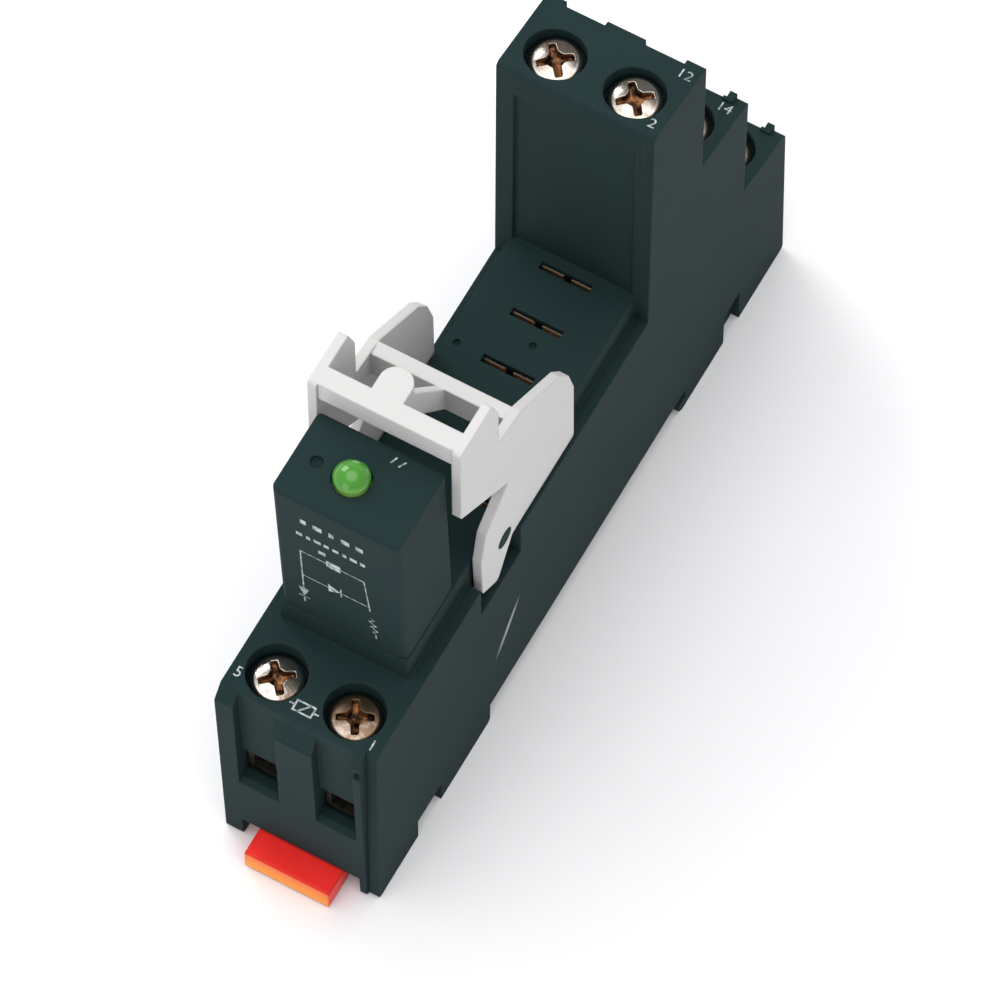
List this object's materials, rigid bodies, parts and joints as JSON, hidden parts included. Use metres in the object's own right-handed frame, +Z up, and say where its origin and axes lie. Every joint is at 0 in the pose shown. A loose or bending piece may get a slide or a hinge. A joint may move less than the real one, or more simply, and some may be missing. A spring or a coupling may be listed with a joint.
{
  "type": "relay socket",
  "caption": "Rail-mounted relay socket with stepped screw terminals, a plug-in lamp module, a hinged white retaining clip and an orange rail latch.",
  "frame": {"origin": "centre of the bounding box at the level of the feet", "axes": "+X to the side cover, +Y from the near terminals to the tower, +Z up from the feet"},
  "size_m": [0.0154, 0.0786, 0.0619],
  "materials": {
    "housing_plastic": "fine matt moulding",
    "module_plastic": "fine matt moulding",
    "latch_plastic": "satin orange moulding",
    "clip_plastic": "smooth off-white moulding",
    "circuit_board": "green laminate",
    "lamp_lens": "clear tinted lens",
    "screw_nickel": "nickel plate",
    "cage_steel": "zinc plate",
    "contact_brass": "bright strip"
  },
  "bodies": {
    "base": {"housing": "housing_plastic", "side_cover": "housing_plastic", "coil_strip_left": "contact_brass", "coil_strip_right": "contact_brass", "contact_strip_upper": "contact_brass", "contact_strip_middle": "contact_brass", "contact_strip_lower": "contact_brass"},
    "latch": {"rail_latch": "latch_plastic", "latch_spring": "cage_steel"},
    "clip": {"retaining_clip": "clip_plastic"},
    "module": {"module_case": "module_plastic", "module_base": "module_plastic", "module_board": "circuit_board", "module_lamp": "lamp_lens", "module_blade_left": "contact_brass", "module_blade_right": "contact_brass"},
    "screw_coil_left": {"screw_coil_left": "screw_nickel"},
    "cage_coil_left": {"cage_coil_left": "cage_steel"},
    "screw_coil_right": {"screw_coil_right": "screw_nickel"},
    "cage_coil_right": {"cage_coil_right": "cage_steel"},
    "screw_upper_left": {"screw_upper_left": "screw_nickel"},
    "cage_upper_left": {"cage_upper_left": "cage_steel"},
    "screw_upper_right": {"screw_upper_right": "screw_nickel"},
    "cage_upper_right": {"cage_upper_right": "cage_steel"},
    "screw_middle_left": {"screw_middle_left": "screw_nickel"},
    "cage_middle_left": {"cage_middle_left": "cage_steel"},
    "screw_middle_right": {"screw_middle_right": "screw_nickel"},
    "cage_middle_right": {"cage_middle_right": "cage_steel"},
    "screw_lower_left": {"screw_lower_left": "screw_nickel"},
    "cage_lower_left": {"cage_lower_left": "cage_steel"},
    "screw_lower_right": {"screw_lower_right": "screw_nickel"},
    "cage_lower_right": {"cage_lower_right": "cage_steel"}
  },
  "joints": [
    {"name": "clip_swing", "type": "hinge", "parent": "base", "child": "clip", "pos_m": [0, -0.01305, 0.0306], "axis": [1, 0, 0], "range_deg": [0, 5]},
    {"name": "module_slide", "type": "slide", "parent": "base", "child": "module", "axis": [0, 0.0521, -0.9986], "range_m": [-0.012, 0]},
    {"name": "latch_slide", "type": "slide", "parent": "base", "child": "latch", "axis": [0, -1, 0], "range_m": [0, 0.0022], "stiffness_N_per_m": 400, "springref_m": -0.001},
    {"name": "turn_coil_left", "type": "hinge", "parent": "base", "child": "screw_coil_left", "pos_m": [-0.0039, -0.03335, 0.02], "axis": [0, 0, -1], "range_deg": [0, 1584]},
    {"name": "lift_coil_left", "type": "slide", "parent": "base", "child": "cage_coil_left", "axis": [0, 0, 1], "range_m": [0, 0.0022]},
    {"name": "turn_coil_right", "type": "hinge", "parent": "base", "child": "screw_coil_right", "pos_m": [0.0039, -0.03335, 0.02], "axis": [0, 0, -1], "range_deg": [0, 1584]},
    {"name": "lift_coil_right", "type": "slide", "parent": "base", "child": "cage_coil_right", "axis": [0, 0, 1], "range_m": [0, 0.0022]},
    {"name": "turn_upper_left", "type": "hinge", "parent": "base", "child": "screw_upper_left", "pos_m": [-0.0039, 0.01615, 0.02], "axis": [0, 0, -1], "range_deg": [0, 1584]},
    {"name": "lift_upper_left", "type": "slide", "parent": "base", "child": "cage_upper_left", "axis": [0, 0, 1], "range_m": [0, 0.0022]},
    {"name": "turn_upper_right", "type": "hinge", "parent": "base", "child": "screw_upper_right", "pos_m": [0.0039, 0.01615, 0.02], "axis": [0, 0, -1], "range_deg": [0, 1584]},
    {"name": "lift_upper_right", "type": "slide", "parent": "base", "child": "cage_upper_right", "axis": [0, 0, 1], "range_m": [0, 0.0022]},
    {"name": "turn_middle_left", "type": "hinge", "parent": "base", "child": "screw_middle_left", "pos_m": [-0.0039, 0.02555, 0.02], "axis": [0, 0, -1], "range_deg": [0, 1584]},
    {"name": "lift_middle_left", "type": "slide", "parent": "base", "child": "cage_middle_left", "axis": [0, 0, 1], "range_m": [0, 0.0022]},
    {"name": "turn_middle_right", "type": "hinge", "parent": "base", "child": "screw_middle_right", "pos_m": [0.0039, 0.02555, 0.02], "axis": [0, 0, -1], "range_deg": [0, 1584]},
    {"name": "lift_middle_right", "type": "slide", "parent": "base", "child": "cage_middle_right", "axis": [0, 0, 1], "range_m": [0, 0.0022]},
    {"name": "turn_lower_left", "type": "hinge", "parent": "base", "child": "screw_lower_left", "pos_m": [-0.0039, 0.03415, 0.02], "axis": [0, 0, -1], "range_deg": [0, 1584]},
    {"name": "lift_lower_left", "type": "slide", "parent": "base", "child": "cage_lower_left", "axis": [0, 0, 1], "range_m": [0, 0.0022]},
    {"name": "turn_lower_right", "type": "hinge", "parent": "base", "child": "screw_lower_right", "pos_m": [0.0039, 0.03415, 0.02], "axis": [0, 0, -1], "range_deg": [0, 1584]},
    {"name": "lift_lower_right", "type": "slide", "parent": "base", "child": "cage_lower_right", "axis": [0, 0, 1], "range_m": [0, 0.0022]}
  ],
  "couplings": [
    {"joint": "turn_coil_left", "follows": "lift_coil_left", "rad_per_m": 12566},
    {"joint": "turn_coil_right", "follows": "lift_coil_right", "rad_per_m": 12566},
    {"joint": "turn_upper_left", "follows": "lift_upper_left", "rad_per_m": 12566},
    {"joint": "turn_upper_right", "follows": "lift_upper_right", "rad_per_m": 12566},
    {"joint": "turn_middle_left", "follows": "lift_middle_left", "rad_per_m": 12566},
    {"joint": "turn_middle_right", "follows": "lift_middle_right", "rad_per_m": 12566},
    {"joint": "turn_lower_left", "follows": "lift_lower_left", "rad_per_m": 12566},
    {"joint": "turn_lower_right", "follows": "lift_lower_right", "rad_per_m": 12566}
  ]
}
